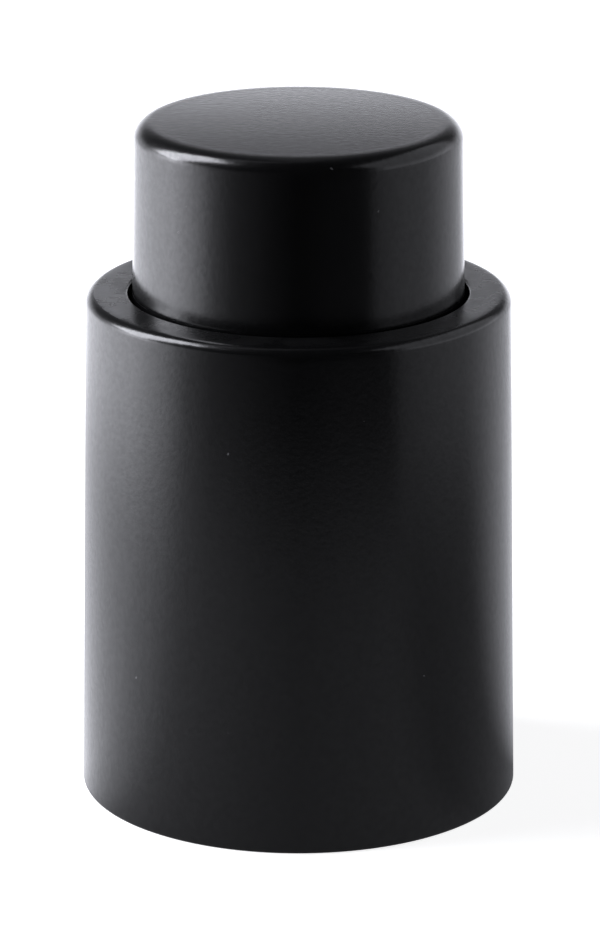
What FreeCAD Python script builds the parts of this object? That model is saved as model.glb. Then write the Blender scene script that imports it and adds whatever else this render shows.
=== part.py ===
"""Vacuum wine stopper with a built-in push pump.

A black sleeve stands over the bottle's neck. The cap on top is pressed again and again. It drives a piston in
a barrel inside the sleeve, and a spring lifts it. Each lift draws air out of the bottle through a one-way
valve. A ribbed silicone plug below the barrel seals the bottle's mouth.

Millimetres, +Z up. The origin is the centre of the base, on the surface that the stopper stands on. The cap
is modelled raised, as the spring holds it. Heights are worked out from the top down, because the cap's height
and its stroke set where the barrel lies. Radii start at the lip of the bottle, which the sleeve has to cover,
go out to the sleeve's wall, and come back in from there to the barrel.
"""

import FreeCAD
import Part
import math
import os

# The bottle's lip and the room for the guide around it
BOTTLE_LIP_RADIUS = 14.75
NECK_GAP = 1.05
GUIDE_DEPTH = 4.2  # from the guide's bore to the sleeve's wall

# The sleeve, as it is seen
HOUSING_HEIGHT = 51.4
MOULD_DRAFT = 1.0  # degrees from vertical on the sleeve's and the cap's walls, which widen downwards
RIM_FILLET = 1.0
APERTURE_FILLET = 0.25
BASE_FILLET = 0.3

# The sleeve inside
SKIRT_WALL = 2.0  # from the base up to the shoulder
SHOULDER_STEP = 0.6  # the wall is this much thicker above the shoulder
RIM_THICKNESS = 2.2
GUIDE_RIB_COUNT = 4
GUIDE_RIB_WIDTH = 1.4
SNAP_BEAD_HEIGHT = 3.6  # of the bead's middle above the base
SNAP_BEAD_RISE = 0.35
SNAP_BEAD_HALF_WIDTH = 0.7

# The cap
CAP_PROTRUSION = 17.4  # of the raised cap above the sleeve's rim
CAP_FILLET = 1.6
CAP_CROWN = 0.2  # rise of the slightly domed top from its fillet to its middle
CAP_WALL = 1.8
CAP_TOP_THICKNESS = 2.0
CAP_CATCH = 1.2  # how far the cap's collar reaches under the rim
CAP_COLLAR_THICKNESS = 1.8
APERTURE_GAP = 0.45
COLLAR_GAP = 0.4  # between the cap's collar and the sleeve's wall
STOP_GAP = 0.3  # between the raised collar and the rim's underside
GUIDE_GAP = 0.3  # between the guide ribs and the cap
STROKE = 14.5

# The carrier inside the cap, which holds the rod and takes the spring
CARRIER_THICKNESS = 1.8
CARRIER_RIM_HEIGHT = 3.0
CARRIER_RIM_WALL = 0.8
CARRIER_GAP = 0.1
HUB_RADIUS = 5.0
HUB_LENGTH = 8.0
HUB_WEB = 2.0  # what the screw's head clamps
LUG_COUNT = 4
LUG_HEIGHT = 1.0
LUG_REACH = 0.5
LUG_WIDTH = 4.0

# The screw that holds the rod to the carrier
SCREW_HEAD_RADIUS = 2.8
SCREW_HEAD_HEIGHT = 1.6
SCREW_CROWN_RADIUS = 2.2  # of the head's flat top
SCREW_HEAD_EDGE = 0.8  # height of the head's upright edge
SCREW_SHANK_RADIUS = 1.2
SCREW_LENGTH = 8.0
SCREW_RECESS_WIDTH = 0.7
SCREW_RECESS_LENGTH = 2.8
SCREW_RECESS_DEPTH = 0.9
SCREW_RECESS_CROSSING = 90.0  # degrees between the two bars of the recess
SCREW_PILOT_GAP = 0.05
SCREW_CLEARANCE = 0.3
HEAD_RECESS_GAP = 0.3
HEAD_SUNK = 0.8  # below the carrier's top

# The spring
WIRE_DIAMETER = 1.5
SPRING_ACTIVE_COILS = 5.0
SPRING_CLOSED_COILS = 1.0  # at each end
SPRING_CLOSED_GAP = 0.1  # between the turns of a closed end
SPRING_EASE = 0.5  # turns over which the pitch changes
SPRING_ARCS = 12  # of the wire's path in one turn
SPRING_OUTER_GAP = 0.25
SPRING_INNER_GAP = 0.75

# The barrel, its flange and the stem below it, moulded as one
BARREL_WALL = 1.5
BARREL_TOP_GAP = 1.0  # to the pressed carrier
BARREL_MOUTH_CHAMFER = 0.4
PUMP_FLANGE_THICKNESS = 2.4
PUMP_FLANGE_GAP = 0.05
CAP_FLOOR_GAP = 1.5  # least distance from the pressed cap to the flange
VALVE_FLOOR_THICKNESS = 1.6
STEM_RADIUS = 5.6
STEM_BORE_RADIUS = 4.2
STEM_BARB_RISE = 0.7
STEM_BARB_LENGTH = 2.5
STEM_INSET = 3.0  # of the stem's end above the plug's end

# The piston and its lip seal
PISTON_HEIGHT = 4.2
PISTON_GAP = 0.25
PISTON_TOP_ROOM = 0.5  # from the raised piston to the barrel's mouth
SEAL_GROOVE_HEIGHT = 2.4
SEAL_GROOVE_DEPTH = 1.85
SEAL_GAP = 0.05
SEAL_LIP_WALL = 0.6
SEAL_FLOOR = 0.9
ROD_SPIGOT_RADIUS = 3.1
ROD_SPIGOT_GAP = 0.05
ROD_WEB_RADIUS = 4.2
ROD_WEB_COUNT = 4
ROD_CORE_RADIUS = 2.7
ROD_WEB_THICKNESS = 1.6

# The one-way valve in the barrel's floor
VALVE_RADIUS = 5.0
VALVE_THICKNESS = 1.2
VALVE_EDGE = 0.5
VALVE_CROWN_RADIUS = 3.0
VALVE_STEM_RADIUS = 1.2
VALVE_BULB_RADIUS = 1.9
VALVE_BULB_HEIGHT = 2.0
VALVE_TIP_RADIUS = 0.6
VALVE_GAP = 0.05
VALVE_ROOM = 1.8  # from the barrel's floor to the pressed piston
VENT_COUNT = 6
VENT_RADIUS = 0.7
VENT_CIRCLE_RADIUS = 3.0

# The guide around the bottle's neck and the plug inside it
GUIDE_TUBE_WALL = 1.5
GUIDE_INSET = 0.8  # of the guide above the base
GUIDE_WEB_THICKNESS = 1.8
GUIDE_BAND_HEIGHT = 6.0
GUIDE_BAND_WALL = 1.4
GUIDE_FIT_GAP = 0.05
GUIDE_LEAD_IN = 1.0
GUIDE_SPOKE_COUNT = 8
GUIDE_SPOKE_WIDTH = 1.2
PLUG_RIB_RADIUS = 10.2
PLUG_ROOT_RADIUS = 8.5
PLUG_RIB_COUNT = 4
PLUG_RIB_LAND = 0.9
PLUG_RIB_TOP_SLOPE = 0.5
PLUG_NECK_LENGTH = 1.2
PLUG_NOSE_LENGTH = 3.0
PLUG_NOSE_FILLET = 1.5
PLUG_MOUTH_RADIUS = 3.2
PLUG_FLANGE_THICKNESS = 2.0
PLUG_FLANGE_INSET = 1.4  # from the guide's wall
PLUG_FLANGE_FILLET = 0.6
PLUG_INSET = 5.0  # of the plug's end above the base
PLUG_FIT_GAP = 0.05

PAST = 1.0  # how far a cutting tool runs past the face that it cuts
DRAFT_SLOPE = math.tan(math.radians(MOULD_DRAFT))
ORIGIN = FreeCAD.Vector(0, 0, 0)
UP = FreeCAD.Vector(0, 0, 1)
GUIDE_INNER_RADIUS = BOTTLE_LIP_RADIUS + NECK_GAP
HOUSING_BASE_RADIUS = GUIDE_INNER_RADIUS + GUIDE_DEPTH + SKIRT_WALL


def housing_outer(z):
    """The sleeve's outer radius at height z."""
    return HOUSING_BASE_RADIUS - z * DRAFT_SLOPE


def skirt_inner(z):
    """The sleeve's inner radius at height z, below the shoulder."""
    return housing_outer(z) - SKIRT_WALL


# Heights, from the rim and the cap's top down
RIM_UNDERSIDE = HOUSING_HEIGHT - RIM_THICKNESS
CAP_TOP = HOUSING_HEIGHT + CAP_PROTRUSION
COLLAR_TOP = RIM_UNDERSIDE - STOP_GAP
CAP_BOTTOM = COLLAR_TOP - CAP_COLLAR_THICKNESS
CARRIER_TOP = CAP_TOP - CAP_TOP_THICKNESS
CARRIER_UNDERSIDE = CARRIER_TOP - CARRIER_THICKNESS
HUB_BOTTOM = CARRIER_UNDERSIDE - HUB_LENGTH
HEAD_SEAT = CARRIER_TOP - HEAD_SUNK - SCREW_HEAD_HEIGHT
ROD_TOP = HEAD_SEAT - HUB_WEB
BARREL_TOP = CARRIER_UNDERSIDE - STROKE - BARREL_TOP_GAP
PISTON_TOP = BARREL_TOP - PISTON_TOP_ROOM
PISTON_BOTTOM = PISTON_TOP - PISTON_HEIGHT
BARREL_FLOOR = PISTON_BOTTOM - STROKE - VALVE_ROOM
PUMP_FLANGE_TOP = min(BARREL_FLOOR, CAP_BOTTOM - STROKE - CAP_FLOOR_GAP)
PUMP_FLANGE_UNDERSIDE = PUMP_FLANGE_TOP - PUMP_FLANGE_THICKNESS
VALVE_FLOOR_UNDERSIDE = BARREL_FLOOR - VALVE_FLOOR_THICKNESS
STEM_BOTTOM = PLUG_INSET + STEM_INSET

# Radii, from the sleeve's wall in
CAVITY_RADIUS = housing_outer(RIM_UNDERSIDE) - SKIRT_WALL - SHOULDER_STEP
COLLAR_RADIUS = CAVITY_RADIUS - COLLAR_GAP
APERTURE_RADIUS = COLLAR_RADIUS - CAP_CATCH
CAP_RADIUS = APERTURE_RADIUS - APERTURE_GAP  # at the rim's height
CAP_TOP_RADIUS = CAP_RADIUS - CAP_PROTRUSION * DRAFT_SLOPE  # where the fillet would leave a sharp edge
CARRIER_RADIUS = CAP_TOP_RADIUS - CAP_WALL - CARRIER_GAP
CARRIER_RIM_INNER = CARRIER_RADIUS - CARRIER_RIM_WALL
SPRING_OUTER_RADIUS = CARRIER_RIM_INNER - SPRING_OUTER_GAP
BARREL_OUTER_RADIUS = SPRING_OUTER_RADIUS - WIRE_DIAMETER - SPRING_INNER_GAP
BORE_RADIUS = BARREL_OUTER_RADIUS - BARREL_WALL
PLUG_FLANGE_RADIUS = GUIDE_INNER_RADIUS - PLUG_FLANGE_INSET


def cap_outer(z):
    """The cap's outer radius at height z, with the cap raised."""
    return CAP_RADIUS - (z - HOUSING_HEIGHT) * DRAFT_SLOPE


def cap_inner(z):
    """The cap's inner radius at height z, with the cap raised."""
    return cap_outer(z) - CAP_WALL


def section(start, *steps):
    """A closed outline in the half-plane of radius and height.

    Each step is a point (radius, height) for a straight edge, or a pair of points for an arc: through, end.
    """
    edges = []
    here = FreeCAD.Vector(start[0], 0, start[1])
    for step in steps + (start,):
        if isinstance(step[0], tuple):
            through, end = (FreeCAD.Vector(r, 0, z) for r, z in step)
            edges.append(Part.Arc(here, through, end).toShape())
        else:
            end = FreeCAD.Vector(step[0], 0, step[1])
            edges.append(Part.LineSegment(here, end).toShape())
        here = end
    return Part.Face(Part.Wire(edges))


def turned(start, *steps):
    """The solid that an outline sweeps in one turn about the stopper's axis."""
    return section(start, *steps).revolve(ORIGIN, UP, 360)


def tube(outer, inner, bottom, top):
    """A ring with straight walls."""
    return turned((inner, bottom), (outer, bottom), (outer, top), (inner, top))


def rod(radius, bottom, top, x=0.0, y=0.0):
    """An upright cylinder."""
    return Part.makeCylinder(radius, top - bottom, FreeCAD.Vector(x, y, bottom), UP)


def radial_bar(width, inner, outer, bottom, top, angle):
    """A block of the given width that points away from the axis at an angle in degrees."""
    block = Part.makeBox(outer - inner, width, top - bottom, FreeCAD.Vector(inner, -width / 2, bottom))
    return block.rotated(ORIGIN, UP, angle)


def around(count, start=0.0):
    """Angles in degrees of that many features, evenly spaced."""
    return [start + 360.0 * i / count for i in range(count)]


def drafted_corner(radius_at, top, fillet):
    """The fillet between a drafted wall and a flat top: its start on the wall, its middle and its end."""
    draft = math.radians(MOULD_DRAFT)
    centre_z = top - fillet
    centre_r = radius_at(centre_z) - fillet / math.cos(draft)
    middle = (draft + math.pi / 2) / 2
    on_wall = (centre_r + fillet * math.cos(draft), centre_z + fillet * math.sin(draft))
    through = (centre_r + fillet * math.cos(middle), centre_z + fillet * math.sin(middle))
    return on_wall, through, (centre_r, top)


def crown_middle(edge_radius, top, rise):
    """The point half-way out on a shallow dome with its top at a height, which falls by rise to its edge."""
    dome_radius = (edge_radius**2 + rise**2) / (2 * rise)
    half_way = edge_radius / 2
    return (half_way, top - dome_radius + math.sqrt(dome_radius**2 - half_way**2))


def quarter_round(corner_r, corner_z, radius, side_r, side_z):
    """A fillet that replaces a square corner: start on the upright side, middle, end on the level side.

    side_r and side_z are 1 or -1 and point from the corner into the material.
    """
    centre_r = corner_r + side_r * radius
    centre_z = corner_z + side_z * radius
    diagonal = radius * math.sqrt(0.5)
    start = (corner_r, centre_z)
    through = (centre_r - side_r * diagonal, centre_z - side_z * diagonal)
    return start, through, (centre_r, corner_z)


def make_housing():
    """The outer sleeve: one moulding with a flat rim, a shoulder for the pump and ribs that guide the cap."""
    on_wall, through, on_rim = drafted_corner(housing_outer, HOUSING_HEIGHT, RIM_FILLET)
    inner_start, inner_middle, inner_end = quarter_round(
        APERTURE_RADIUS, HOUSING_HEIGHT, APERTURE_FILLET, 1, -1
    )
    base_start, base_middle, base_end = quarter_round(HOUSING_BASE_RADIUS, 0.0, BASE_FILLET, -1, 1)
    bead_low = SNAP_BEAD_HEIGHT - SNAP_BEAD_HALF_WIDTH
    bead_high = SNAP_BEAD_HEIGHT + SNAP_BEAD_HALF_WIDTH
    shoulder_outer = skirt_inner(PUMP_FLANGE_TOP)
    shoulder_inner = shoulder_outer - SHOULDER_STEP
    body = turned(
        (skirt_inner(0.0), 0.0),
        base_end,
        (base_middle, base_start),
        on_wall,
        (through, on_rim),
        inner_end,
        (inner_middle, inner_start),
        (APERTURE_RADIUS, RIM_UNDERSIDE),
        (CAVITY_RADIUS, RIM_UNDERSIDE),
        (shoulder_inner, PUMP_FLANGE_TOP),
        (shoulder_outer, PUMP_FLANGE_TOP),
        (skirt_inner(bead_high), bead_high),
        (
            (skirt_inner(SNAP_BEAD_HEIGHT) - SNAP_BEAD_RISE, SNAP_BEAD_HEIGHT),
            (skirt_inner(bead_low), bead_low),
        ),
    )
    rib_inner = cap_outer(CAP_BOTTOM) + GUIDE_GAP
    rib_outer = shoulder_inner + SHOULDER_STEP
    ribs = [
        radial_bar(GUIDE_RIB_WIDTH, rib_inner, rib_outer, PUMP_FLANGE_TOP, RIM_UNDERSIDE, angle)
        for angle in around(GUIDE_RIB_COUNT)
    ]
    return body.fuse(ribs).removeSplitter()


def make_cap():
    """The press cap: a cup with a notched collar that the rim holds in, and lugs that hold the carrier."""
    on_wall, through, on_top = drafted_corner(cap_outer, CAP_TOP - CAP_CROWN, CAP_FILLET)
    cup = turned(
        (0.0, CARRIER_TOP),
        (cap_inner(CARRIER_TOP), CARRIER_TOP),
        (cap_inner(CAP_BOTTOM), CAP_BOTTOM),
        (COLLAR_RADIUS, CAP_BOTTOM),
        (COLLAR_RADIUS, COLLAR_TOP),
        (cap_outer(COLLAR_TOP), COLLAR_TOP),
        on_wall,
        (through, on_top),
        (crown_middle(on_top[0], CAP_TOP, CAP_CROWN), (0.0, CAP_TOP)),
    )
    notches = [
        radial_bar(
            GUIDE_RIB_WIDTH + 2 * GUIDE_GAP,
            cap_outer(CAP_BOTTOM),
            COLLAR_RADIUS + PAST,
            CAP_BOTTOM - PAST,
            COLLAR_TOP,
            angle,
        )
        for angle in around(GUIDE_RIB_COUNT)
    ]
    # The lugs lie between the notches and hold the carrier by its rim's lower edge
    lug_top = CARRIER_UNDERSIDE - CARRIER_RIM_HEIGHT
    lug_bottom = lug_top - LUG_HEIGHT
    lug_ring = tube(
        cap_inner(lug_bottom) + CAP_WALL / 2, cap_inner(lug_top) - LUG_REACH, lug_bottom, lug_top
    )
    lugs = [
        lug_ring.common(radial_bar(LUG_WIDTH, 0.0, CAP_RADIUS, lug_bottom, lug_top, angle))
        for angle in around(LUG_COUNT, 180.0 / GUIDE_RIB_COUNT)
    ]
    return cup.cut(notches).fuse(lugs).removeSplitter()


def make_carrier():
    """The disc inside the cap: its rim centres the spring and its hub holds the rod."""
    disc = turned(
        (0.0, CARRIER_UNDERSIDE),
        (CARRIER_RIM_INNER, CARRIER_UNDERSIDE),
        (CARRIER_RIM_INNER, CARRIER_UNDERSIDE - CARRIER_RIM_HEIGHT),
        (CARRIER_RADIUS, CARRIER_UNDERSIDE - CARRIER_RIM_HEIGHT),
        (CARRIER_RADIUS, CARRIER_TOP),
        (0.0, CARRIER_TOP),
    )
    hub = rod(HUB_RADIUS, HUB_BOTTOM, CARRIER_TOP)
    head_recess = rod(SCREW_HEAD_RADIUS + HEAD_RECESS_GAP, HEAD_SEAT, CARRIER_TOP + PAST)
    screw_hole = rod(SCREW_SHANK_RADIUS + SCREW_CLEARANCE, HUB_BOTTOM, CARRIER_TOP)
    rod_socket = rod(ROD_SPIGOT_RADIUS + ROD_SPIGOT_GAP, HUB_BOTTOM - PAST, ROD_TOP)
    return disc.fuse(hub).cut([head_recess, screw_hole, rod_socket]).removeSplitter()


def make_carrier_screw():
    """A pan-head self-tapping screw with a cross recess."""
    head_top = HEAD_SEAT + SCREW_HEAD_HEIGHT
    tip = HEAD_SEAT - SCREW_LENGTH
    screw = turned(
        (0.0, tip),
        (SCREW_SHANK_RADIUS, tip + SCREW_SHANK_RADIUS),
        (SCREW_SHANK_RADIUS, HEAD_SEAT),
        (SCREW_HEAD_RADIUS, HEAD_SEAT),
        (SCREW_HEAD_RADIUS, HEAD_SEAT + SCREW_HEAD_EDGE),
        (SCREW_CROWN_RADIUS, head_top),
        (0.0, head_top),
    )
    half = SCREW_RECESS_LENGTH / 2
    floor = head_top - SCREW_RECESS_DEPTH
    recess = [
        radial_bar(SCREW_RECESS_WIDTH, -half, half, floor, head_top + PAST, angle)
        for angle in (0.0, SCREW_RECESS_CROSSING)
    ]
    return screw.cut(recess)


def make_piston():
    """The piston and its rod, moulded as one, with a groove for the seal and a pilot hole for the screw."""
    radius = BORE_RADIUS - PISTON_GAP
    groove_root = BORE_RADIUS - SEAL_GROOVE_DEPTH
    groove_bottom = PISTON_BOTTOM + (PISTON_HEIGHT - SEAL_GROOVE_HEIGHT) / 2
    groove_top = groove_bottom + SEAL_GROOVE_HEIGHT
    head = turned(
        (0.0, PISTON_BOTTOM),
        (radius, PISTON_BOTTOM),
        (radius, groove_bottom),
        (groove_root, groove_bottom),
        (groove_root, groove_top),
        (radius, groove_top),
        (radius, PISTON_TOP),
        (0.0, PISTON_TOP),
    )
    webs = [
        radial_bar(ROD_WEB_THICKNESS, 0.0, ROD_WEB_RADIUS, PISTON_TOP, HUB_BOTTOM, angle)
        for angle in around(ROD_WEB_COUNT)
    ]
    core = rod(ROD_CORE_RADIUS, PISTON_TOP, HUB_BOTTOM)
    spigot = rod(ROD_SPIGOT_RADIUS, HUB_BOTTOM, ROD_TOP)
    pilot_bottom = HEAD_SEAT - SCREW_LENGTH - PAST
    pilot = rod(SCREW_SHANK_RADIUS + SCREW_PILOT_GAP, pilot_bottom, ROD_TOP + PAST)
    return head.fuse(webs + [core, spigot]).cut(pilot).removeSplitter()


def make_piston_seal():
    """The silicone lip seal: a U in section, open upwards, so that air can leave past it but not return."""
    groove_bottom = PISTON_BOTTOM + (PISTON_HEIGHT - SEAL_GROOVE_HEIGHT) / 2
    inner = BORE_RADIUS - SEAL_GROOVE_DEPTH
    outer = BORE_RADIUS - PISTON_GAP
    lip = BORE_RADIUS - SEAL_GAP
    floor = groove_bottom + SEAL_FLOOR
    top = groove_bottom + SEAL_GROOVE_HEIGHT - SEAL_GAP
    return turned(
        (inner, groove_bottom),
        (outer, groove_bottom),
        (lip, top),
        (lip - SEAL_LIP_WALL, top),
        (outer - SEAL_LIP_WALL, floor),
        (inner + SEAL_LIP_WALL, floor),
        (inner + SEAL_LIP_WALL, top),
        (inner, top),
    )


def make_return_spring():
    """The compression spring between the pump's flange and the carrier.

    Its wire follows short arcs through points of the coil, which climbs slowly in its closed ends. Both ends
    are ground flat.
    """
    seat = PUMP_FLANGE_TOP
    wire_radius = WIRE_DIAMETER / 2
    mean_radius = SPRING_OUTER_RADIUS - wire_radius
    turns = SPRING_ACTIVE_COILS + 2 * SPRING_CLOSED_COILS
    closed_pitch = WIRE_DIAMETER + SPRING_CLOSED_GAP
    opening = (CARRIER_UNDERSIDE - seat - turns * closed_pitch) / SPRING_ACTIVE_COILS

    def eased(turn):
        """A slope that grows from 0 to 1 over the ease and then stays."""
        if turn < 0:
            return 0.0
        if turn < SPRING_EASE:
            return turn * turn / (2 * SPRING_EASE)
        return turn - SPRING_EASE / 2

    def point(turn):
        opens = turn - SPRING_CLOSED_COILS + SPRING_EASE / 2
        climb = closed_pitch * turn + opening * (eased(opens) - eased(opens - SPRING_ACTIVE_COILS))
        angle = 2 * math.pi * turn
        return FreeCAD.Vector(mean_radius * math.cos(angle), mean_radius * math.sin(angle), seat + climb)

    count = round(turns * SPRING_ARCS)
    step = turns / count
    arcs = [
        Part.Arc(point(i * step), point((i + 0.5) * step), point((i + 1) * step)).toShape()
        for i in range(count)
    ]
    wire_section = Part.Circle(point(0), FreeCAD.Vector(0, 1, 0), wire_radius).toShape()
    coil = Part.Wire(arcs).makePipe(Part.Face(Part.Wire(wire_section)))
    between_seats = rod(SPRING_OUTER_RADIUS + PAST, seat, CARRIER_UNDERSIDE)
    return coil.common(between_seats)


def make_pump_body():
    """The barrel, the flange that closes the sleeve and the barbed stem below it, moulded as one."""
    flange_radius_top = skirt_inner(PUMP_FLANGE_TOP) - PUMP_FLANGE_GAP
    flange_radius_low = skirt_inner(PUMP_FLANGE_UNDERSIDE) - PUMP_FLANGE_GAP
    barb_top = STEM_BOTTOM + STEM_BARB_LENGTH
    body = turned(
        (0.0, VALVE_FLOOR_UNDERSIDE),
        (STEM_BORE_RADIUS, VALVE_FLOOR_UNDERSIDE),
        (STEM_BORE_RADIUS, STEM_BOTTOM),
        (STEM_RADIUS, STEM_BOTTOM),
        (STEM_RADIUS + STEM_BARB_RISE, barb_top),
        (STEM_RADIUS, barb_top),
        (STEM_RADIUS, PUMP_FLANGE_UNDERSIDE),
        (flange_radius_low, PUMP_FLANGE_UNDERSIDE),
        (flange_radius_top, PUMP_FLANGE_TOP),
        (BARREL_OUTER_RADIUS, PUMP_FLANGE_TOP),
        (BARREL_OUTER_RADIUS, BARREL_TOP),
        (BORE_RADIUS + BARREL_MOUTH_CHAMFER, BARREL_TOP),
        (BORE_RADIUS, BARREL_TOP - BARREL_MOUTH_CHAMFER),
        (BORE_RADIUS, BARREL_FLOOR),
        (0.0, BARREL_FLOOR),
    )
    valve_hole = rod(
        VALVE_STEM_RADIUS + VALVE_GAP, VALVE_FLOOR_UNDERSIDE - PAST, BARREL_FLOOR + PAST
    )
    vents = [
        rod(VENT_RADIUS, VALVE_FLOOR_UNDERSIDE - PAST, BARREL_FLOOR + PAST, VENT_CIRCLE_RADIUS).rotated(
            ORIGIN, UP, angle
        )
        for angle in around(VENT_COUNT)
    ]
    return body.cut([valve_hole] + vents)


def make_inlet_valve():
    """The silicone umbrella valve: a thin disc on the barrel's floor, held by a bulb below the floor."""
    top = BARREL_FLOOR + VALVE_THICKNESS
    neck_bottom = VALVE_FLOOR_UNDERSIDE - VALVE_GAP
    bulb_bottom = neck_bottom - VALVE_BULB_HEIGHT
    return turned(
        (0.0, bulb_bottom),
        (VALVE_TIP_RADIUS, bulb_bottom),
        (VALVE_BULB_RADIUS, neck_bottom),
        (VALVE_STEM_RADIUS, neck_bottom),
        (VALVE_STEM_RADIUS, BARREL_FLOOR),
        (VALVE_RADIUS, BARREL_FLOOR),
        (VALVE_RADIUS, BARREL_FLOOR + VALVE_EDGE),
        (VALVE_CROWN_RADIUS, top),
        (0.0, top),
    )


def make_neck_guide():
    """The guide around the bottle's neck: a tube, a web and a band joined by spokes, snapped into the sleeve.

    Its tube holds the pump's flange up against the sleeve's shoulder.
    """
    bottom = GUIDE_INSET
    web_top = bottom + GUIDE_WEB_THICKNESS
    band_top = bottom + GUIDE_BAND_HEIGHT
    tube_top = PUMP_FLANGE_UNDERSIDE
    tube_outer = GUIDE_INNER_RADIUS + GUIDE_TUBE_WALL
    bead_low = SNAP_BEAD_HEIGHT - SNAP_BEAD_HALF_WIDTH - GUIDE_FIT_GAP
    bead_high = SNAP_BEAD_HEIGHT + SNAP_BEAD_HALF_WIDTH + GUIDE_FIT_GAP

    def band_outer(z):
        return skirt_inner(z) - GUIDE_FIT_GAP

    groove_depth = SNAP_BEAD_RISE + GUIDE_FIT_GAP
    body = turned(
        (GUIDE_INNER_RADIUS, bottom + GUIDE_LEAD_IN),
        (GUIDE_INNER_RADIUS + GUIDE_LEAD_IN, bottom),
        (band_outer(bottom), bottom),
        (band_outer(bead_low), bead_low),
        (
            (band_outer(SNAP_BEAD_HEIGHT) - groove_depth, SNAP_BEAD_HEIGHT),
            (band_outer(bead_high), bead_high),
        ),
        (band_outer(band_top), band_top),
        (band_outer(band_top) - GUIDE_BAND_WALL, band_top),
        (band_outer(band_top) - GUIDE_BAND_WALL, web_top),
        (tube_outer, web_top),
        (tube_outer, tube_top),
        (GUIDE_INNER_RADIUS, tube_top),
    )
    spoke_space = turned(
        (tube_outer - GUIDE_TUBE_WALL / 2, web_top),
        (band_outer(band_top) - GUIDE_BAND_WALL / 2, web_top),
        (band_outer(band_top) - GUIDE_BAND_WALL / 2, band_top),
        (band_outer(band_top), band_top),
        (band_outer(tube_top), tube_top),
        (tube_outer - GUIDE_TUBE_WALL / 2, tube_top),
    )
    spokes = [
        spoke_space.common(
            radial_bar(GUIDE_SPOKE_WIDTH, 0.0, HOUSING_BASE_RADIUS, bottom, tube_top, angle)
        )
        for angle in around(GUIDE_SPOKE_COUNT)
    ]
    return body.fuse(spokes).removeSplitter()


def make_plug():
    """The silicone plug: ribs seal in the bottle's mouth, and the flange seals on its lip."""
    top = PUMP_FLANGE_UNDERSIDE
    flange_low = top - PLUG_FLANGE_THICKNESS
    bore = STEM_RADIUS + PLUG_FIT_GAP
    barb = bore + STEM_BARB_RISE
    barb_top = STEM_BOTTOM + STEM_BARB_LENGTH + PLUG_FIT_GAP
    pocket_bottom = STEM_BOTTOM - PLUG_FIT_GAP
    edge_start, edge_middle, edge_end = quarter_round(
        PLUG_FLANGE_RADIUS, flange_low, PLUG_FLANGE_FILLET, -1, 1
    )
    nose_start, nose_middle, nose_end = quarter_round(
        PLUG_ROOT_RADIUS, PLUG_INSET, PLUG_NOSE_FILLET, -1, 1
    )
    rib_room = flange_low - PLUG_NECK_LENGTH - PLUG_INSET - PLUG_NOSE_LENGTH
    pitch = rib_room / PLUG_RIB_COUNT
    ribs = []
    for i in range(PLUG_RIB_COUNT):
        rib_low = PLUG_INSET + PLUG_NOSE_LENGTH + i * pitch
        crest_top = rib_low + pitch - PLUG_NECK_LENGTH - PLUG_RIB_TOP_SLOPE
        ribs += [
            (PLUG_ROOT_RADIUS, rib_low),
            (PLUG_RIB_RADIUS, crest_top - PLUG_RIB_LAND),
            (PLUG_RIB_RADIUS, crest_top),
            (PLUG_ROOT_RADIUS, crest_top + PLUG_RIB_TOP_SLOPE),
        ]
    return turned(
        (PLUG_MOUTH_RADIUS, PLUG_INSET),
        nose_end,
        (nose_middle, nose_start),
        *ribs,
        (PLUG_ROOT_RADIUS, flange_low),
        edge_end,
        (edge_middle, edge_start),
        (PLUG_FLANGE_RADIUS, top),
        (bore, top),
        (bore, barb_top),
        (barb, barb_top),
        (bore, pocket_bottom),
        (PLUG_MOUTH_RADIUS, pocket_bottom),
    )


PIECES = {
    "housing": make_housing,
    "cap": make_cap,
    "cap_carrier": make_carrier,
    "carrier_screw": make_carrier_screw,
    "piston": make_piston,
    "piston_seal": make_piston_seal,
    "return_spring": make_return_spring,
    "pump_body": make_pump_body,
    "inlet_valve": make_inlet_valve,
    "neck_guide": make_neck_guide,
    "plug": make_plug,
}

os.makedirs("parts", exist_ok=True)
for name, make in PIECES.items():
    make().exportStep(f"parts/{name}.step")
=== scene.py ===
import math

import bmesh
import bpy
import numpy as np
from mathutils import Matrix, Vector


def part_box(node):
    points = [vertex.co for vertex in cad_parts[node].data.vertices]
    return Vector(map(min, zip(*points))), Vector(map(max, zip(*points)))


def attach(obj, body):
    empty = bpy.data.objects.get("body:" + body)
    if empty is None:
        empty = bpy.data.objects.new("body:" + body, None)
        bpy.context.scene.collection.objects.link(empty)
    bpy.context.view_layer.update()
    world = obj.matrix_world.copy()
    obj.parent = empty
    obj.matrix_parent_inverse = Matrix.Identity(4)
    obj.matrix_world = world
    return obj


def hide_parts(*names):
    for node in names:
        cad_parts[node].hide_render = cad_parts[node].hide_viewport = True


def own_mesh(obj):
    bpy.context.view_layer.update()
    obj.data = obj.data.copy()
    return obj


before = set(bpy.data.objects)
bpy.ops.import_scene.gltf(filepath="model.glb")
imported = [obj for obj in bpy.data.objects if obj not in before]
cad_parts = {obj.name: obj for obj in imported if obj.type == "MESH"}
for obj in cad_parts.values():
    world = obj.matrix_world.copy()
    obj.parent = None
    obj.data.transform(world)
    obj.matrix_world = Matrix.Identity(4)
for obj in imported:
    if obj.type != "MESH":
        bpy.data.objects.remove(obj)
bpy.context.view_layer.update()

# The pump body. Barrel, flange and barbed stem are one injection moulding in dark grey polypropylene. It goes
# up into the sleeve from below, until its flange meets the shoulder in the sleeve's wall.


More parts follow.
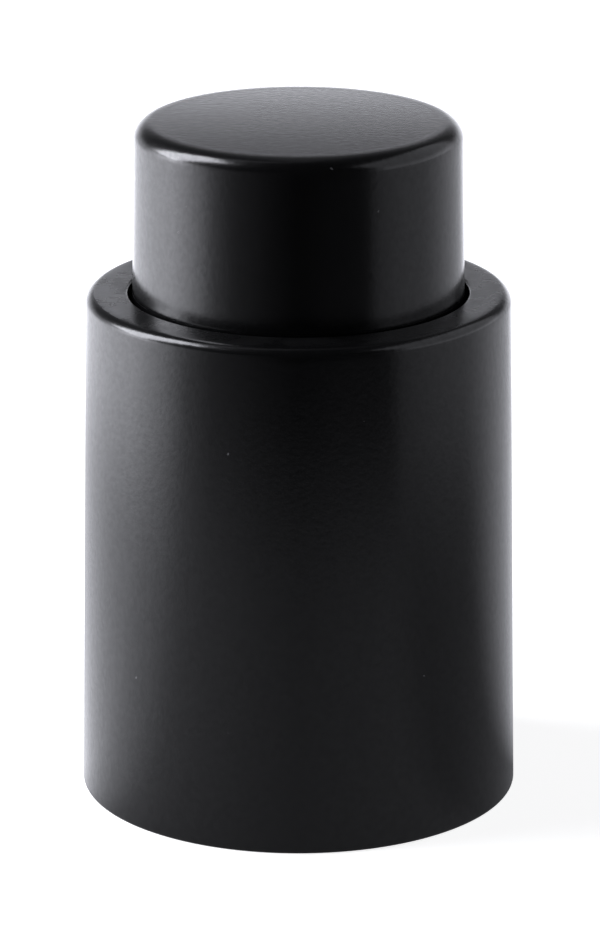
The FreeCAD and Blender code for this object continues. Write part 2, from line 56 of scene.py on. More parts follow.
class Socket:
    """A node's output. Arithmetic on it adds the Math node that works it out."""

    def __init__(self, recipe, output):
        self.recipe = recipe
        self.output = output

    def maths(self, operation, first, second):
        return self.recipe.node("ShaderNodeMath", {"operation": operation}, {0: first, 1: second})

    def __add__(self, other):
        return self.maths("ADD", self, other)

    __radd__ = __add__

    def __sub__(self, other):
        return self.maths("SUBTRACT", self, other)

    def __rsub__(self, other):
        return self.maths("SUBTRACT", other, self)

    def __mul__(self, other):
        return self.maths("MULTIPLY", self, other)

    __rmul__ = __mul__


class Recipe:
    """The nodes of a material or of the world. A material starts from its Principled shader."""

    def __init__(self, owner):
        owner.use_nodes = True
        self.owner = owner
        self.tree = owner.node_tree
        self.shader = self.tree.nodes.get("Principled BSDF")

    def feed(self, socket, value):
        """Sets a socket, or links it where the value is another node's output."""
        if isinstance(value, Socket):
            self.tree.links.new(value.output, socket)
        else:
            socket.default_value = value

    def node(self, kind, settings, sockets, output=0):
        """Adds a node: its settings first, then the values or links of its sockets. Returns one output.

        The setting stops holds a ramp's grey levels by their places from 0 to 1.
        """
        node = self.tree.nodes.new(kind)
        for name, value in settings.items():
            if name != "stops":
                setattr(node, name, value)
                continue
            elements = node.color_ramp.elements
            for at, level in value.items():
                stop = elements[0] if at == 0 else elements[-1] if at == 1 else elements.new(at)
                stop.color = [level, level, level, 1.0]
        for name, value in sockets.items():
            self.feed(node.inputs[name], value)
        return Socket(self, node.outputs[output])

    def set(self, **values):
        """Feeds the Principled shader. A socket's name is written in lower case, with _ for each space."""
        for socket in self.shader.inputs:
            key = socket.name.lower().replace(" ", "_")
            if key in values:
                self.feed(socket, values.pop(key))
        if values:
            raise KeyError(f"the shader has no {sorted(values)}")

    def place(self):
        return self.node("ShaderNodeTexCoord", {}, {}, "Object")

    def noise(self, where, scale, detail=2.0, roughness=0.5):
        """Soft noise from 0 to 1, with features about 1 / scale metres across."""
        sockets = {"Vector": where, "Scale": scale, "Detail": detail, "Roughness": roughness}
        return self.node("ShaderNodeTexNoise", {}, sockets)

    def mask(self, value, low, high):
        """0 where the value is below low, 1 where it is above high, and a smooth step between."""
        sockets = {"Value": value, "From Min": low, "From Max": high}
        return self.node("ShaderNodeMapRange", {"interpolation_type": "SMOOTHSTEP"}, sockets)

    def mix(self, share, first, second):
        """The first colour where share is 0, and the second where it is 1."""
        return self.node("ShaderNodeMix", {"data_type": "RGBA"}, {0: share, 6: first, 7: second}, 2)

    def bump(self, height, distance, strength=1.0):
        """A normal for relief that is distance metres high where height goes from 0 to 1."""
        sockets = {"Height": height, "Distance": distance, "Strength": strength}
        return self.node("ShaderNodeBump", {}, sockets)


def moulded_plastic(name, colour, roughness, grain_height):
    """A moulded plastic: a fine even grain from the mould's wall, and slow changes of gloss from its flow."""
    recipe = Recipe(bpy.data.materials.new(name))
    place = recipe.place()
    grain = recipe.noise(place, scale=2600.0, detail=3.0, roughness=0.6)
    flow = recipe.noise(place, scale=160.0)
    darker, paler = ([c * share for c in colour] + [1.0] for share in (0.9, 1.1))
    recipe.set(
        base_color=recipe.mix(flow, darker, paler),
        roughness=roughness + 0.06 * grain + 0.08 * (flow - 0.5),
        normal=recipe.bump(grain, distance=grain_height),
        ior=1.49,
    )
    return recipe.owner


def dress(piece, material):
    """Gives every material slot of a piece the same finish."""
    if not piece.material_slots:
        piece.data.materials.append(material)
    for slot in piece.material_slots:
        slot.material = material


DARK_GREY = (0.035, 0.035, 0.038)
dark_grey_plastic = moulded_plastic("dark_grey_plastic", DARK_GREY, roughness=0.42, grain_height=6e-6)
dress(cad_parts["pump_body"], dark_grey_plastic)

# The inlet valve. A silicone umbrella lies on the barrel's floor over six air holes, and the bulb below the
# floor is pulled through the middle hole to hold it.


def silicone(name, colour):
    """Soft silicone: matt, with a fine velvet grain and a trace of pale dust that clings to it."""
    recipe = Recipe(bpy.data.materials.new(name))
    place = recipe.place()
    grain = recipe.noise(place, scale=4200.0, detail=3.0, roughness=0.6)
    patches = recipe.noise(place, scale=420.0, detail=4.0, roughness=0.62)
    dust = recipe.mask(patches, low=0.56, high=0.8)
    clean = list(colour) + [1.0]
    dusty = [c * 2.6 + 0.006 for c in colour] + [1.0]
    recipe.set(
        base_color=recipe.mix(dust, clean, dusty),
        roughness=0.56 + 0.12 * grain + 0.1 * dust,
        normal=recipe.bump(grain, distance=9e-6),
        ior=1.41,
        sheen_weight=0.06,
        sheen_roughness=0.5,
    )
    return recipe.owner


BLACK_SILICONE = (0.018, 0.018, 0.019)
black_silicone = silicone("black_silicone", BLACK_SILICONE)
dress(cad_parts["inlet_valve"], black_silicone)

# The piston and its rod are one moulding in milky acetal, which slides well without grease. The lip seal is
# silicone and is stretched into the piston's groove.
MILKY = (0.7, 0.7, 0.67)
natural_plastic = moulded_plastic("natural_plastic", MILKY, roughness=0.36, grain_height=3e-6)
dress(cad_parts["piston"], natural_plastic)
dress(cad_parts["piston_seal"], black_silicone)

# The return spring. Stainless wire is coiled with one closed turn at each end, and the ends are ground flat.
# It stands on the pump's flange around the barrel and pushes the carrier up. The real one shortens as the cap
# goes down; this one is built at a single length and stays with the sleeve.
MM = 0.001
WIRE_RADIUS = 0.75 * MM
ACTIVE_TURNS = 5.0
CLOSED_TURNS = 1.0
CLOSED_PITCH = 1.6 * MM
EASE_TURNS = 0.5
POINTS_PER_TURN = 64
POINTS_AROUND_WIRE = 20


def surface(name, points, closed_rows, closed_columns):
    """A mesh through a grid of points, shaped (rows, columns, 3), that can close on itself either way.

    Each square of the grid is a face. All faces are turned over where the volume inside comes out negative.
    """
    rows, columns = points.shape[:2]
    row = np.arange(rows if closed_rows else rows - 1)[:, None]
    column = np.arange(columns if closed_columns else columns - 1)[None, :]
    next_row = (row + 1) % rows
    next_column = (column + 1) % columns
    corners = (
        row * columns + column,
        row * columns + next_column,
        next_row * columns + next_column,
        next_row * columns + column,
    )
    faces = np.stack(np.broadcast_arrays(*corners), axis=-1).reshape(-1, 4)
    flat = points.reshape(-1, 3)
    a, b, c, d = (flat[faces[:, k]] for k in range(4))
    volume = np.einsum("ij,ij->", a, np.cross(b, c)) + np.einsum("ij,ij->", a, np.cross(c, d))
    if volume < 0:
        faces = faces[:, ::-1]
    mesh = bpy.data.meshes.new(name)
    mesh.from_pydata(flat, [], faces)
    piece = bpy.data.objects.new(name, mesh)
    bpy.context.scene.collection.objects.link(piece)
    return piece


SAME_POINT = 1e-7
SHARP = math.radians(35.0)


def finished(piece):
    """Joins doubled points, drops faces that have no area, and shades all but the sharp edges smooth."""
    shape = bmesh.new()
    shape.from_mesh(piece.data)
    bmesh.ops.remove_doubles(shape, verts=shape.verts, dist=SAME_POINT)
    bmesh.ops.dissolve_degenerate(shape, edges=shape.edges, dist=SAME_POINT)
    shape.to_mesh(piece.data)
    shape.free()
    piece.data.shade_smooth()
    piece.data.set_sharp_from_angle(angle=SHARP)
    return piece


def spring_line(turn, seat, length):
    """The wire's centre line: it climbs one pitch a turn in its closed ends and evenly between them.

    The height is the closed pitch times the turn, plus the rest of the length in step with an eased slope,
    which grows from 0 to 1 over half a turn where the coil opens and falls back where it closes.
    """

    def eased(x):
        return np.where(x < EASE_TURNS, np.clip(x, 0, None) ** 2 / (2 * EASE_TURNS), x - EASE_TURNS / 2)

    turns = ACTIVE_TURNS + 2 * CLOSED_TURNS
    opening = (length - turns * CLOSED_PITCH) / ACTIVE_TURNS
    opens = turn - CLOSED_TURNS + EASE_TURNS / 2
    return seat + CLOSED_PITCH * turn + opening * (eased(opens) - eased(opens - ACTIVE_TURNS))


def coiled_wire(name, low, high):
    """A round wire along the coil. Its ground ends are pressed flat onto the planes that it stands between.

    The distance from the axis is the coil's mean radius plus the wire's times the cosine of the angle round
    it, and the height is the centre line's plus the wire's radius times the sine.
    """
    turns = ACTIVE_TURNS + 2 * CLOSED_TURNS
    turn = np.linspace(0, turns, int(turns * POINTS_PER_TURN) + 1)[:, None]
    around = np.linspace(0, 2 * math.pi, POINTS_AROUND_WIRE, endpoint=False)[None, :]
    mean_radius = high.x - WIRE_RADIUS
    radius = mean_radius + WIRE_RADIUS * np.cos(around)
    azimuth = 2 * math.pi * turn
    height = spring_line(turn, low.z, high.z - low.z) + WIRE_RADIUS * np.sin(around)
    height = np.clip(height, low.z, high.z)
    points = np.stack(np.broadcast_arrays(radius * np.cos(azimuth), radius * np.sin(azimuth), height), -1)
    start = np.broadcast_to(points[:1].mean(axis=1, keepdims=True), points[:1].shape)
    end = np.broadcast_to(points[-1:].mean(axis=1, keepdims=True), points[-1:].shape)
    rings = np.concatenate([start, points, end])
    return finished(surface(name, rings, closed_rows=False, closed_columns=True))


WIRE_SHADE = [0.52, 0.52, 0.51, 1.0]
WIRE_BRIGHT = [0.66, 0.66, 0.65, 1.0]


def drawn_wire(name):
    """Drawn stainless wire: bright, with fine lines and a few darker patches from the die's soap."""
    recipe = Recipe(bpy.data.materials.new(name))
    place = recipe.place()
    lines = recipe.noise(place, scale=5200.0)
    patches = recipe.noise(place, scale=380.0, detail=3.0)
    recipe.set(
        base_color=recipe.mix(patches, WIRE_SHADE, WIRE_BRIGHT),
        metallic=1.0,
        roughness=0.22 + 0.14 * lines + 0.08 * patches,
        normal=recipe.bump(lines, distance=2e-6),
    )
    return recipe.owner


spring_low, spring_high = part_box("return_spring")
spring = coiled_wire("return_spring_wire", spring_low, spring_high)
dress(spring, drawn_wire("spring_steel"))
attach(spring, "sleeve")
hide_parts("return_spring")
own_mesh(spring)

# The carrier is a disc of the same dark plastic, snapped into the cap behind four lugs. A zinc-plated screw
# goes down through it into the piston's rod.
ZINC_SHADE = [0.6, 0.63, 0.66, 1.0]
ZINC_BRIGHT = [0.76, 0.77, 0.78, 1.0]


def zinc_plate(name):
    """Bright zinc plate over steel: cloudy, with a cool tint."""
    recipe = Recipe(bpy.data.materials.new(name))
    clouds = recipe.noise(recipe.place(), scale=900.0, detail=4.0, roughness=0.6)
    recipe.set(
        base_color=recipe.mix(clouds, ZINC_SHADE, ZINC_BRIGHT),
        metallic=1.0,
        roughness=0.2 + 0.2 * clouds,
        normal=recipe.bump(clouds, distance=2e-6),
    )
    return recipe.owner


dress(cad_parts["cap_carrier"], dark_grey_plastic)
dress(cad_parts["carrier_screw"], zinc_plate("zinc_plated_steel"))

# The press cap. One black moulding in the shape of a cup, open below: its collar catches under the sleeve's
# rim and has notches for the sleeve's guide ribs. The mould's walls are spark-eroded, which gives the satin
# grain. Its width follows from the sleeve's, less the walls and gaps between them.
DRAFT = math.tan(math.radians(1.0))
CAP_FILLET = 1.6 * MM
CAP_WALL = 1.8 * MM
CAP_TOP_THICKNESS = 2.0 * MM
CAP_CROWN = 0.2 * MM
CROWN_POINTS = 12
CROWN_REACH = 0.95
COLLAR_THICKNESS = 1.8 * MM
LUG_LOW = 61.0 * MM
LUG_HEIGHT = 1.0 * MM
LUG_REACH = 0.5 * MM
LUG_WIDTH = 4.0 * MM
NOTCH_WIDTH = 2.0 * MM
EDGE = 0.12 * MM
SKIRT_WALL = 2.0 * MM
SHOULDER_STEP = 0.6 * MM
RIM_THICKNESS = 2.2 * MM
COLLAR_ROOM = 0.4 * MM
CAP_CATCH = 1.2 * MM
APERTURE_GAP = 0.45 * MM
FEATURE_COUNT = 4
COLUMNS = 240
COLUMN_PAIR = 1e-5


def outline(corners, steps=8):
    """The points (radius, height) of an open outline through corners (radius, height, fillet).

    A fillet is an arc that touches both sides of its corner: it starts and ends as far from the corner as
    its radius over the tangent of half the corner's angle, about a centre on the corner's bisector. One more
    point on each side, half a fillet away, keeps the flat stretches flat in the shading.
    """
    corners = np.array(corners, float)
    points = [corners[:1, :2]]
    for before, here, after in zip(corners, corners[1:], corners[2:]):
        fillet = here[2]
        corner = here[:2]
        if fillet == 0:
            points.append(corner[None, :])
            continue
        back = (before[:2] - corner) / np.linalg.norm(before[:2] - corner)
        on = (after[:2] - corner) / np.linalg.norm(after[:2] - corner)
        half = math.acos(np.clip(back @ on, -1, 1)) / 2
        reach = fillet / math.tan(half)
        centre = corner + (back + on) / np.linalg.norm(back + on) * fillet / math.sin(half)
        start = corner + back * reach - centre
        end = corner + on * reach - centre
        turn = math.pi - 2 * half
        share = np.linspace(0, 1, steps + 1)[:, None]
        arc = centre + (start * np.sin((1 - share) * turn) + end * np.sin(share * turn)) / math.sin(turn)
        points += [
            (corner + back * (reach + fillet / 2))[None, :],
            arc,
            (corner + on * (reach + fillet / 2))[None, :],
        ]
    points.append(corners[-1:, :2])
    return np.concatenate(points)


def turned(name, azimuths, outlines, closed):
    """A solid turned about Z. outlines is shaped (points, columns, 2): each column's radius and height.

    x and y are the radius times the cosine and the sine of the column's azimuth. A closed outline runs round
    a ring's section, and an open one starts and ends on the axis.
    """
    radius, height = outlines[..., 0], outlines[..., 1]
    points = np.stack([radius * np.cos(azimuths), radius * np.sin(azimuths), height], axis=-1)
    return finished(surface(name, points, closed_rows=closed, closed_columns=True))


def columns_with(features):
    """Azimuths of columns all round, with a close pair at each side of the features (azimuth, half angle)."""
    even = np.linspace(0, 2 * math.pi, COLUMNS, endpoint=False)
    sides = np.array([at + side * half for at, half in features for side in (-1, 1)])
    pairs = np.concatenate([sides - COLUMN_PAIR, sides + COLUMN_PAIR])
    return np.sort(np.concatenate([even, pairs]) % (2 * math.pi))


def within(azimuths, at, half):
    """True for the columns within half an angle of the azimuth at."""
    off = (azimuths - at + math.pi) % (2 * math.pi) - math.pi
    return np.abs(off) < half


def spaced(width, offset=0.0):
    """Features (azimuth, half angle) of one width, spaced evenly round the collar."""
    half = math.asin(width / 2 / collar_radius)
    return [((k + offset) * 2 * math.pi / FEATURE_COUNT, half) for k in range(FEATURE_COUNT)]


housing_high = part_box("housing")[1]
cap_low, cap_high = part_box("cap")
RIM = housing_high.z


def housing_outer(height):
    """The sleeve's outer radius at a height: its base's, less the height times the tangent of the draft."""
    return housing_high.x - height * DRAFT


collar_radius = housing_outer(RIM - RIM_THICKNESS) - SKIRT_WALL - SHOULDER_STEP - COLLAR_ROOM
cap_radius = collar_radius - CAP_CATCH - APERTURE_GAP


def cap_outer(height):
    """The cap's outer radius at a height: its radius at the rim, less the rise times the same tangent."""
    return cap_radius - (height - RIM) * DRAFT


def cap_outline(notched, lugged):
    """The cap's section from the crown's middle, out and down the wall, round the collar and up inside.

    The crown falls off with the square of its share of the flat's radius.
    """
    bottom, top = cap_low.z, cap_high.z
    collar_top = bottom + COLLAR_THICKNESS
    inside_top = top - CAP_TOP_THICKNESS
    lug_high = LUG_LOW + LUG_HEIGHT
    flat = cap_outer(top) - CAP_FILLET
    crown = [(flat * s, top - CAP_CROWN * s * s, 0) for s in np.linspace(0, CROWN_REACH, CROWN_POINTS)]
    outside = [
        (cap_outer(top), top - CAP_CROWN, CAP_FILLET),
        (cap_outer(collar_top), collar_top, EDGE),
    ]
    collar = [(collar_radius, collar_top, EDGE), (collar_radius, bottom, EDGE)]
    if notched:
        collar = [(cap_outer(collar_top), collar_top - 2 * EDGE, EDGE / 4), (cap_outer(bottom), bottom, EDGE)]

    def inner(height):
        return cap_outer(height) - CAP_WALL

    reach = LUG_REACH if lugged else 0.0
    inside = [
        (inner(bottom), bottom, EDGE),
        (inner(LUG_LOW), LUG_LOW, 0),
        (inner(lug_high) - reach, LUG_LOW, 0),
        (inner(lug_high) - reach, lug_high, 0),
        (inner(lug_high), lug_high, 0),
        (inner(inside_top), inside_top, EDGE),
        (0.0, inside_top, 0),
    ]
    return outline(crown + outside + collar + inside)


BLACK = [0.003, 0.003, 0.0032, 1.0]
DUST = [0.35, 0.35, 0.36, 1.0]
LEVEL_NEAR = 0.01 * MM
LEVEL_FAR = 0.05 * MM
DUST_START = 0.7 * housing_high.x
DUST_FULL = 0.85 * housing_high.x


def satin_black(name, flat):
    """Satin black plastic: a spark-eroded grain under a thin uneven film from handling.

    The level face at the height flat is scuffed, with dust on it to the left and right. A point is on that
    face when it is within a hair of its height.
    """
    recipe = Recipe(bpy.data.materials.new(name))
    place = recipe.place()
    grain = recipe.noise(place, scale=2100.0, detail=2.5, roughness=0.55)
    film = recipe.noise(place, scale=1600.0, detail=4.0, roughness=0.7)
    flow = recipe.noise(place, scale=120.0)
    height = recipe.node("ShaderNodeSeparateXYZ", {}, {0: place}, "Z")
    sideways = recipe.node("ShaderNodeSeparateXYZ", {}, {0: place}, "X")
    beside = recipe.mask(sideways.maths("ABSOLUTE", sideways, 0.0), DUST_START, DUST_FULL)
    above = recipe.mask(height, flat - LEVEL_FAR, flat - LEVEL_NEAR)
    below = recipe.mask(height, flat + LEVEL_NEAR, flat + LEVEL_FAR)
    patches = recipe.noise(place, scale=300.0, detail=3.0)
    scuffs = recipe.mask(patches, low=0.3, high=0.75) * (above * (1.0 - below))
    dust = scuffs * beside
    specks = recipe.mask(recipe.noise(place, scale=1100.0, detail=1.0), low=0.81, high=0.83)
    recipe.set(
        base_color=recipe.mix(0.34 * dust + 0.3 * specks, BLACK, DUST),
        roughness=0.17 + 0.08 * grain + 0.04 * (flow - 0.5) + 0.18 * scuffs,
        coat_weight=0.15 * recipe.mask(film, low=0.35, high=0.65),
        coat_roughness=0.25,
        normal=recipe.bump(grain, distance=1.1e-5),
        ior=1.5,
    )
    return recipe.owner


notches = spaced(NOTCH_WIDTH)
lugs = spaced(LUG_WIDTH, offset=0.5)
azimuths = columns_with(notches + lugs)
in_notch = np.any([within(azimuths, *n) for n in notches], axis=0)
in_lug = np.any([within(azimuths, *n) for n in lugs], axis=0)
plain = cap_outline(notched=False, lugged=False)
notched = cap_outline(notched=True, lugged=False)
lugged = cap_outline(notched=False, lugged=True)
outlines = np.where(in_notch[:, None], notched[:, None, :], plain[:, None, :])
outlines = np.where(in_lug[:, None], lugged[:, None, :], outlines)
cap = turned("cap_shell", azimuths, outlines, closed=False)
black_plastic = satin_black("satin_black_plastic", RIM)
dress(cap, black_plastic)
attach(cap, "press_cap")
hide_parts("cap")

# The housing. The outer sleeve is one black moulding with the same satin grain. Its rim turns inward round
# the aperture, four ribs guide the cap, and a bead near the base snaps into the neck guide.
RIM_FILLET = 1.0 * MM
APERTURE_FILLET = 0.25 * MM
BASE_FILLET = 0.3 * MM
RIB_WIDTH = 1.4 * MM
RIB_GAP = 0.3 * MM
BEAD_HEIGHT = 3.6 * MM
BEAD_RISE = 0.35 * MM
BEAD_HALF = 0.7 * MM
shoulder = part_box("return_spring")[0].z


def housing_outline(ribbed):
    """The sleeve's section: up its outside, over the rim, down the aperture and inside, and over the bead."""
    under_rim = RIM - RIM_THICKNESS
    aperture = cap_radius + APERTURE_GAP
    shoulder_outer = housing_outer(shoulder) - SKIRT_WALL
    rib = cap_outer(cap_low.z) + RIB_GAP
    cavity = (rib, rib) if ribbed else (collar_radius + COLLAR_ROOM, shoulder_outer - SHOULDER_STEP)
    bead = [BEAD_HEIGHT + BEAD_HALF, BEAD_HEIGHT, BEAD_HEIGHT - BEAD_HALF]

    def inner(height):
        return housing_outer(height) - SKIRT_WALL

    return outline(
        [
            (housing_outer(RIM / 2), RIM / 2, 0),
            (housing_outer(RIM), RIM, RIM_FILLET),
            (aperture, RIM, APERTURE_FILLET),
            (aperture, under_rim, EDGE),
            (cavity[0], under_rim, EDGE),
            (cavity[1], shoulder, EDGE / 4),
            (shoulder_outer, shoulder, EDGE / 4),
            (inner(bead[0]), bead[0], 0),
            (inner(bead[1]) - BEAD_RISE, bead[1], BEAD_HALF),
            (inner(bead[2]), bead[2], 0),
            (inner(0.0), 0.0, EDGE),
            (housing_high.x, 0.0, BASE_FILLET),
            (housing_outer(RIM / 4), RIM / 4, 0),
        ]
    )


ribs = spaced(RIB_WIDTH)
azimuths = columns_with(ribs)
in_rib = np.any([within(azimuths, *r) for r in ribs], axis=0)
plain = housing_outline(ribbed=False)
ribbed = housing_outline(ribbed=True)
outlines = np.where(in_rib[:, None], ribbed[:, None, :], plain[:, None, :])
housing = turned("housing_shell", azimuths, outlines, closed=True)
dress(housing, black_plastic)
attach(housing, "sleeve")
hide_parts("housing")

# The neck guide, of the dark plastic, is pushed in from below until its band snaps over the housing's bead.
# Its tube holds the pump body up.
dress(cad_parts["neck_guide"], dark_grey_plastic)

# The plug. One silicone moulding, stretched over the stem's barb: four soft ribs seal in the bottle's bore
# and the flange seals on its lip.
PLUG_ROOT = 8.5 * MM
PLUG_CREST = 10.2 * MM
RIB_COUNT = 4
RIB_LAND = 0.9 * MM
RIB_TOP_SLOPE = 0.5 * MM
RIB_NECK = 1.2 * MM
NOSE_LENGTH = 3.0 * MM
NOSE_FILLET = 1.5 * MM
PLUG_MOUTH = 3.2 * MM
PLUG_FLANGE = 2.0 * MM
FLANGE_FILLET = 0.6 * MM
PLUG_BORE = 5.65 * MM
BARB_RISE = 0.7 * MM
POCKET_LOW = 7.95 * MM
BARB_HIGH = 10.55 * MM
LIP = 0.2 * MM
PLUG_STEPS = 5


def plug_outline():
    """The plug's section: from its mouth round the nose, over the ribs to the flange, and down its bore."""
    low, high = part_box("plug")
    flange_low = high.z - PLUG_FLANGE
    pitch = (flange_low - RIB_NECK - low.z - NOSE_LENGTH) / RIB_COUNT
    corners = [(PLUG_MOUTH, low.z, LIP), (PLUG_ROOT, low.z, NOSE_FILLET)]
    for k in range(RIB_COUNT):
        rib_low = low.z + NOSE_LENGTH + k * pitch
        crest = rib_low + pitch - RIB_NECK - RIB_TOP_SLOPE
        corners += [
            (PLUG_ROOT, rib_low, LIP),
            (PLUG_CREST, crest - RIB_LAND, LIP),
            (PLUG_CREST, crest, LIP),
            (PLUG_ROOT, crest + RIB_TOP_SLOPE, LIP),
        ]
    corners += [
        (PLUG_ROOT, flange_low, LIP),
        (high.x, flange_low, FLANGE_FILLET),
        (high.x, high.z, LIP),
        (PLUG_BORE, high.z, LIP),
        (PLUG_BORE, BARB_HIGH, 0),
        (PLUG_BORE + BARB_RISE, BARB_HIGH, 0),
        (PLUG_BORE, POCKET_LOW, 0),
        (PLUG_MOUTH, POCKET_LOW, LIP),
    ]
    middle = (low.z + POCKET_LOW) / 2
    return outline([(PLUG_MOUTH, middle, 0), *corners, (PLUG_MOUTH, middle + LIP / 2, 0)], PLUG_STEPS)


azimuths = np.linspace(0, 2 * math.pi, COLUMNS, endpoint=False)
outlines = np.repeat(plug_outline()[:, None, :], COLUMNS, axis=1)
plug = turned("plug_ribs", azimuths, outlines, closed=True)
dress(plug, black_silicone)
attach(plug, "sleeve")
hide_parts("plug")

# The table is a large white board. It stays white in the picture and keeps the stopper's soft shadow: its own
# white is a little under 1 near the stopper, and the lamps make up the rest.
WHITE = [1.0, 1.0, 1.0, 1.0]
COOL = [0.975, 0.985, 1.06, 1.0]
BOARD_GREY = [0.8, 0.8, 0.8, 1.0]
NEAR_WHITE = 0.84
FLOOR_HALF = 3.0
FLOOR_DROP = 0.02 * MM
NEAR_REACH = 0.11
FAR_REACH = 0.19
HORIZON_START = 0.25
HORIZON_REACH = 1.0
BRIGHTEST = 8.0

# How bright mirrors see the table beside the stopper, the board beyond and the horizon, by azimuth in
# degrees: 0 is the camera's side and -90 is on the left, where the light comes from
TABLE_LEVELS = {
    -180: 1.3, -150: 1.15, -120: 1.48, -95: 1.52, -75: 1.1, -60: 0.6, -45: 0.45, -20: 0.31, 0: 0.24,
    20: 0.27, 45: 0.3, 60: 0.2, 75: 0.2, 95: 0.2, 120: 0.72, 150: 1.0, 180: 1.3,
}
BOARD_LEVELS = {
    -180: 3.6, -150: 1.75, -120: 2.85, -95: 3.85, -75: 2.55, -60: 0.65, -45: 0.2, -20: 0.05, 0: 0.0,
    20: 0.03, 49: 0.04, 53: 0.32, 75: 0.48, 95: 0.5, 120: 0.75, 150: 0.95, 180: 3.6,
}
HORIZON_LEVELS = {
    -180: 3.6, -150: 1.1, -128: 1.1, -112: 4.5, -97: 7.5, -84: 4.5, -75: 2.2, -60: 0.6, -45: 0.2, -20: 0.05,
    0: 0.0, 49: 0.04, 53: 0.32, 75: 0.48, 95: 0.5, 120: 0.75, 150: 0.95, 180: 3.6,
}


def level_around(recipe, place, levels):
    """The level at an azimuth around the stopper: a ramp over atan2(x, -y) as a share of a full turn."""
    x = recipe.node("ShaderNodeSeparateXYZ", {}, {0: place}, "X")
    y = recipe.node("ShaderNodeSeparateXYZ", {}, {0: place}, "Y")
    azimuth = x.maths("ARCTAN2", x, -1.0 * y)
    stops = {degrees / 360 + 0.5: level / BRIGHTEST for degrees, level in levels.items()}
    share = azimuth * (0.5 / math.pi) + 0.5
    return recipe.node("ShaderNodeValToRGB", {"stops": stops}, {0: share}) * BRIGHTEST


def white_board(name):
    """White to the camera, with the shadow on it. Mirrors see its levels, and from below it is open.

    The level goes from the table's to the board's and on to the horizon's with distance from the stopper.
    """
    recipe = Recipe(bpy.data.materials.new(name))
    nodes = recipe.tree.nodes
    nodes.remove(recipe.shader)
    place = recipe.place()
    seen = recipe.node("ShaderNodeLightPath", {}, {}, "Is Camera Ray")
    mirrored = recipe.node("ShaderNodeLightPath", {}, {}, "Is Glossy Ray")
    below = recipe.node("ShaderNodeNewGeometry", {}, {}, "Backfacing")
    distance = recipe.node("ShaderNodeVectorMath", {"operation": "LENGTH"}, {0: place}, "Value")
    table = level_around(recipe, place, TABLE_LEVELS)
    board = level_around(recipe, place, BOARD_LEVELS)
    horizon = level_around(recipe, place, HORIZON_LEVELS)
    near = table + recipe.mask(distance, NEAR_REACH, FAR_REACH) * (board - table)
    far = recipe.mask(distance, HORIZON_START, HORIZON_REACH)
    level = near + far * (horizon - board)
    card = recipe.node("ShaderNodeBsdfDiffuse", {}, {"Color": BOARD_GREY})
    strength = (NEAR_WHITE + (1.0 - NEAR_WHITE) * far) * seen
    white = recipe.node("ShaderNodeEmission", {}, {"Color": WHITE, "Strength": strength})
    lit = recipe.node("ShaderNodeAddShader", {}, {0: card, 1: white})
    glow = recipe.node("ShaderNodeEmission", {}, {"Color": COOL, "Strength": level})
    seen_or_mirrored = recipe.node("ShaderNodeMixShader", {}, {0: mirrored, 1: lit, 2: glow})
    clear = recipe.node("ShaderNodeBsdfTransparent", {}, {})
    both = recipe.node("ShaderNodeMixShader", {}, {0: below * seen, 1: seen_or_mirrored, 2: clear})
    recipe.feed(nodes["Material Output"].inputs["Surface"], both)
    return recipe.owner


span = (-FLOOR_HALF, FLOOR_HALF)
floor_corners = np.array([[[x, y, -FLOOR_DROP] for x in span] for y in span])
floor = surface("floor", floor_corners, closed_rows=False, closed_columns=False)
floor.data.flip_normals()
dress(floor, white_board("white_board"))

# The studio is a white room. A tall softbox stands on the left and leans to the camera's side, and a wide,
# weak one stands on the right. Both face the stopper's middle.
TOP_FADE = 0.95
FADE_RISE = 0.25
DIM_ROOM = 0.02
STOPPER_MIDDLE = 0.035


def studio_world():
    """White to the camera. Mirrors see the horizon's levels, which fade upwards, and other light is dim."""
    world = bpy.data.worlds.new("studio")
    bpy.context.scene.world = world
    recipe = Recipe(world)
    background = recipe.tree.nodes["Background"]
    seen = recipe.node("ShaderNodeLightPath", {}, {}, "Is Camera Ray")
    mirrored = recipe.node("ShaderNodeLightPath", {}, {}, "Is Glossy Ray")
    direction = recipe.node("ShaderNodeTexCoord", {}, {}, "Generated")
    rise = recipe.node("ShaderNodeSeparateXYZ", {}, {0: direction}, "Z")
    risen = recipe.node("ShaderNodeMapRange", {}, {"Value": rise, "From Min": 0.0, "From Max": FADE_RISE})
    glow = level_around(recipe, direction, HORIZON_LEVELS) * (1.0 - TOP_FADE * risen)
    recipe.feed(background.inputs["Strength"], DIM_ROOM + (1.0 - DIM_ROOM) * seen + mirrored * glow)
    recipe.feed(background.inputs["Color"], recipe.mix(seen, COOL, WHITE))


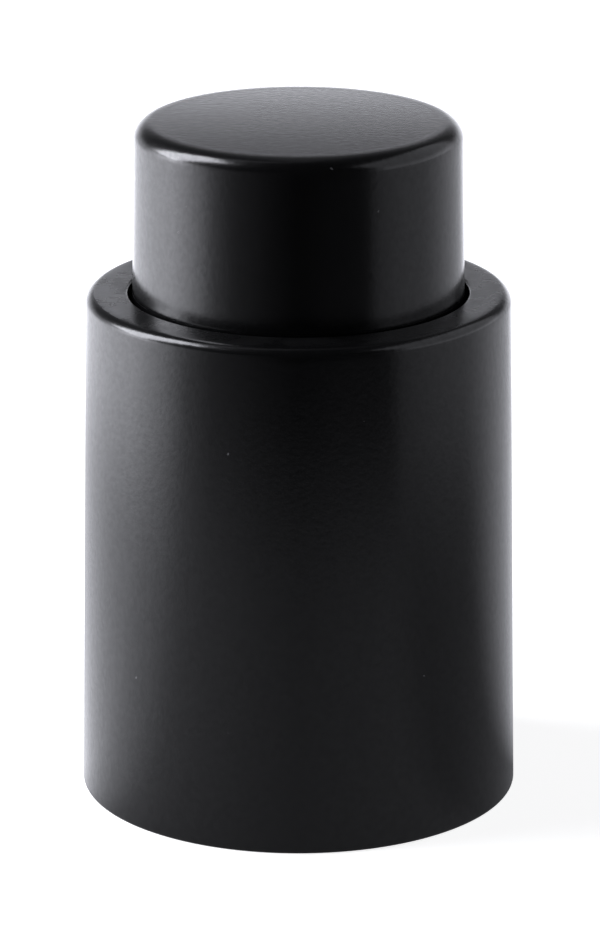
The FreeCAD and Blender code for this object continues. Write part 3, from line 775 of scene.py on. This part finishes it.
def softbox(name, azimuth, elevation, lean, distance, width, height, radiance):
    """An area lamp in a direction from the stopper's middle, which it faces. Angles are in degrees.

    It leans sideways by the angle lean. Its power is its radiance times pi times its area.
    """
    lamp = bpy.data.lights.new(name, "AREA")
    lamp.shape = "RECTANGLE"
    lamp.size = width
    lamp.size_y = height
    lamp.energy = radiance * math.pi * width * height
    lamp.color = COOL[:3]
    piece = bpy.data.objects.new(name, lamp)
    bpy.context.scene.collection.objects.link(piece)
    side, rise = math.radians(azimuth), math.radians(elevation)
    away = distance * math.cos(rise)
    up = STOPPER_MIDDLE + distance * math.sin(rise)
    piece.location = (away * math.sin(side), -away * math.cos(side), up)
    turn = Matrix.Rotation(side, 4, "Z") @ Matrix.Rotation(math.pi / 2 - rise, 4, "X")
    piece.rotation_euler = (turn @ Matrix.Rotation(-math.radians(lean), 4, "Z")).to_euler()
    piece.visible_camera = False


studio_world()
softbox(
    "softbox_left",
    azimuth=-95.0,
    elevation=33.4,
    lean=21.0,
    distance=0.467,
    width=0.24,
    height=0.42,
    radiance=10.5,
)
softbox(
    "softbox_right",
    azimuth=95.0,
    elevation=27.0,
    lean=0.0,
    distance=0.5,
    width=0.8,
    height=0.5,
    radiance=0.6,
)

# The camera stands in front with a long lens and looks a little down, as in the photograph. Its focal length
# is given in pixels of the picture's height.
CAMERA_DISTANCE = 489.3 * MM
CAMERA_ELEVATION = math.radians(17.73)
CAMERA_SIDE = 0.15 * MM
LOOK_HEIGHT = 32.6 * MM
SENSOR_MM = 36.0
IMAGE_HEIGHT = 940
FOCAL_PIXELS = 4870.4

lens = bpy.data.cameras.new("camera")
lens.sensor_fit = "VERTICAL"
lens.sensor_height = SENSOR_MM
lens.lens = FOCAL_PIXELS / IMAGE_HEIGHT * SENSOR_MM
camera = bpy.data.objects.new("camera", lens)
bpy.context.scene.collection.objects.link(camera)
camera.location = (
    CAMERA_SIDE,
    -CAMERA_DISTANCE * math.cos(CAMERA_ELEVATION),
    LOOK_HEIGHT + CAMERA_DISTANCE * math.sin(CAMERA_ELEVATION),
)
camera.rotation_euler = (math.pi / 2 - CAMERA_ELEVATION, 0.0, 0.0)
bpy.context.scene.camera = camera
bpy.context.scene.view_settings.view_transform = "Standard"
